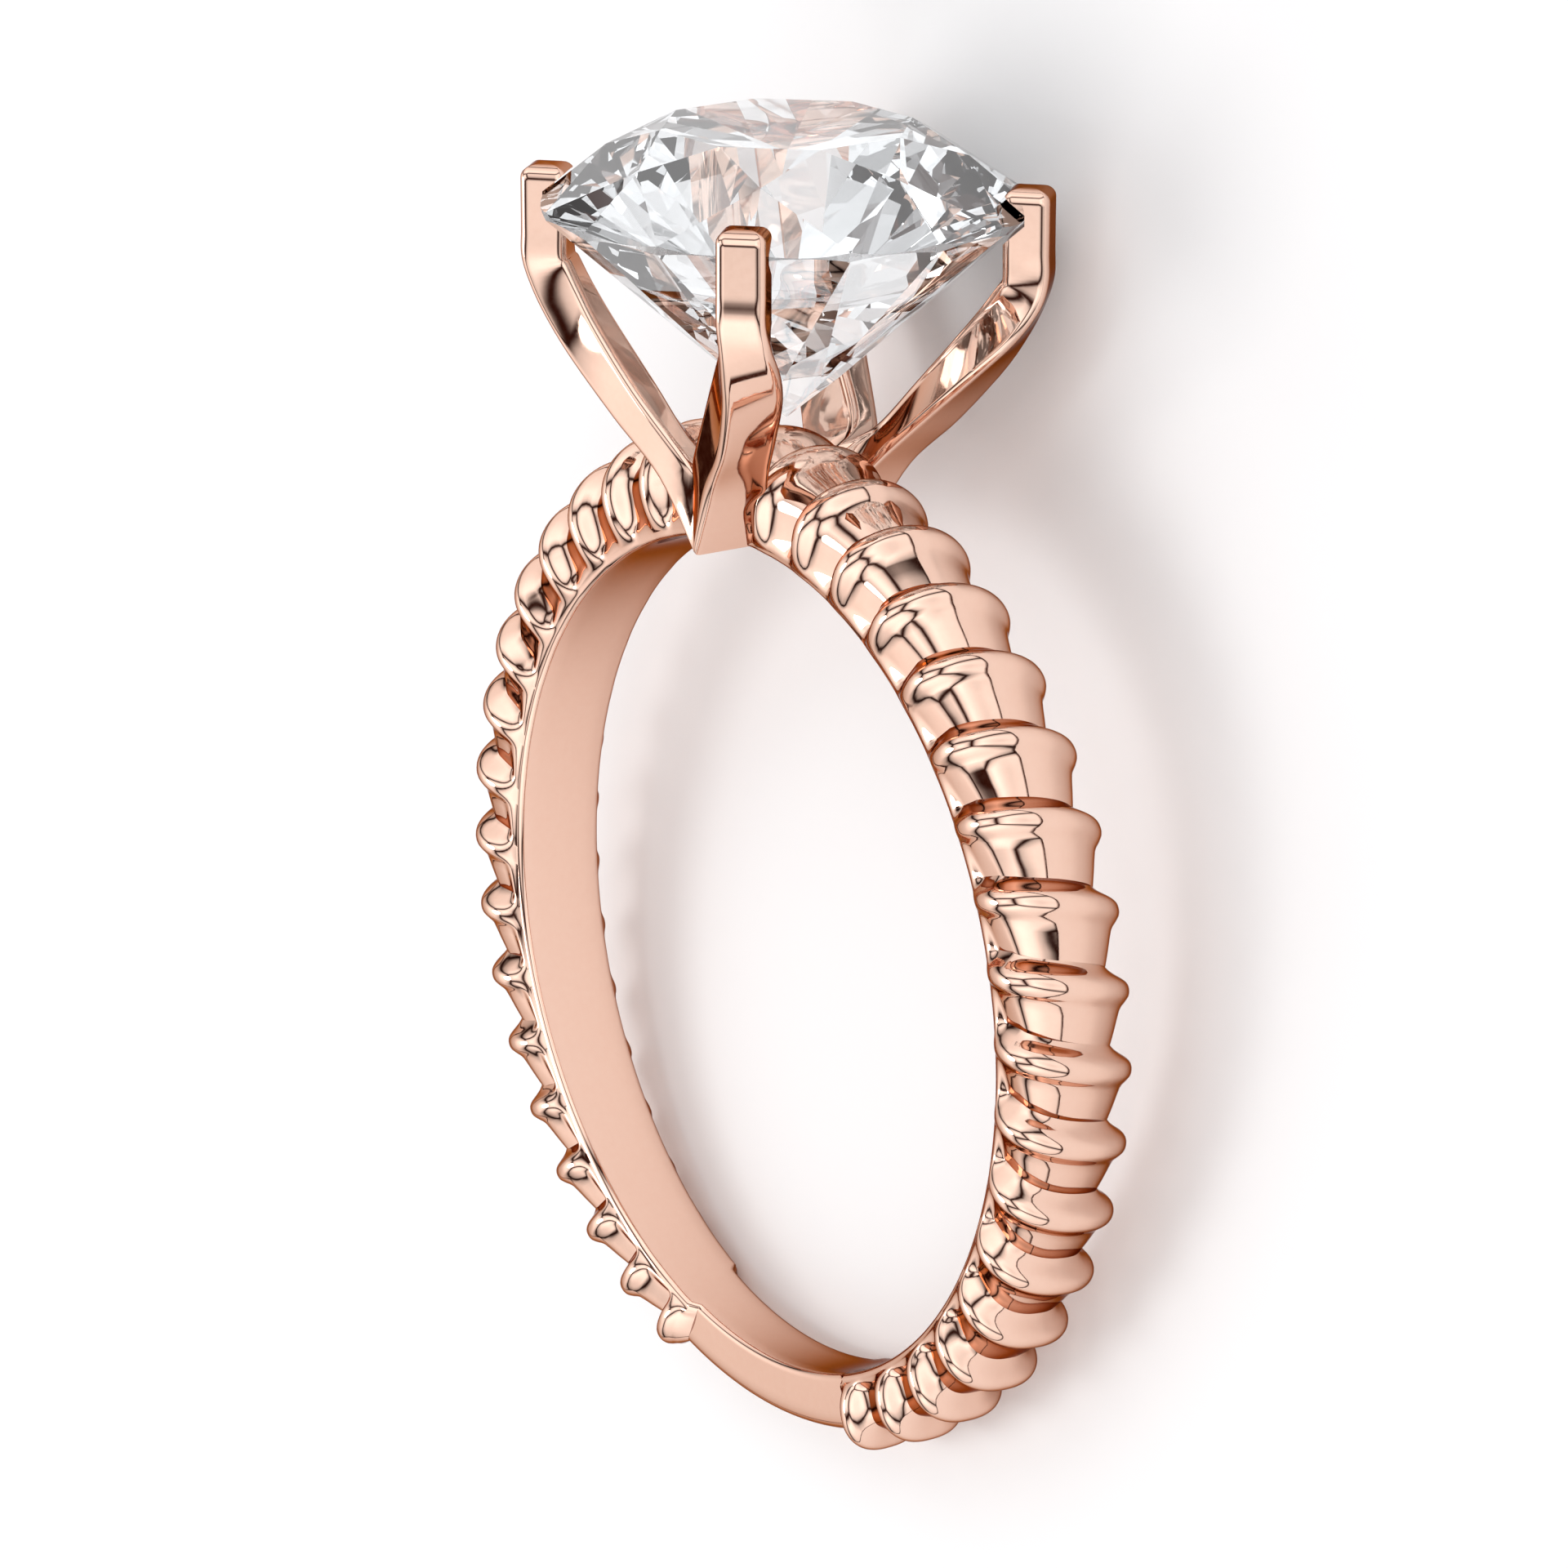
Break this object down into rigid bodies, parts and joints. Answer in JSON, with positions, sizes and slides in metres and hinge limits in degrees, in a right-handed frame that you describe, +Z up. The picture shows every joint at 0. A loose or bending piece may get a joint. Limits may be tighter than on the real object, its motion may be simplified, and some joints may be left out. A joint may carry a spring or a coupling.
{
  "type": "twisted shank ring",
  "caption": "Solitaire finger ring: a coiled, rope-like shank with a plain back, a prong head of V-shaped wires, and a round brilliant-cut stone.",
  "frame": {"origin": "on the table, under the middle of the ring's box as it lies on its side", "axes": "+Y from the back of the shank towards the stone, +X across the ring, +Z up from the table and close to the finger's axis"},
  "size_m": [0.0202, 0.0258, 0.0091],
  "materials": {
    "rose_gold": "polished",
    "stone": "faceted and polished"
  },
  "bodies": {
    "root": {"shank_and_setting": "rose_gold", "round_stone": "stone"}
  },
  "joints": []
}
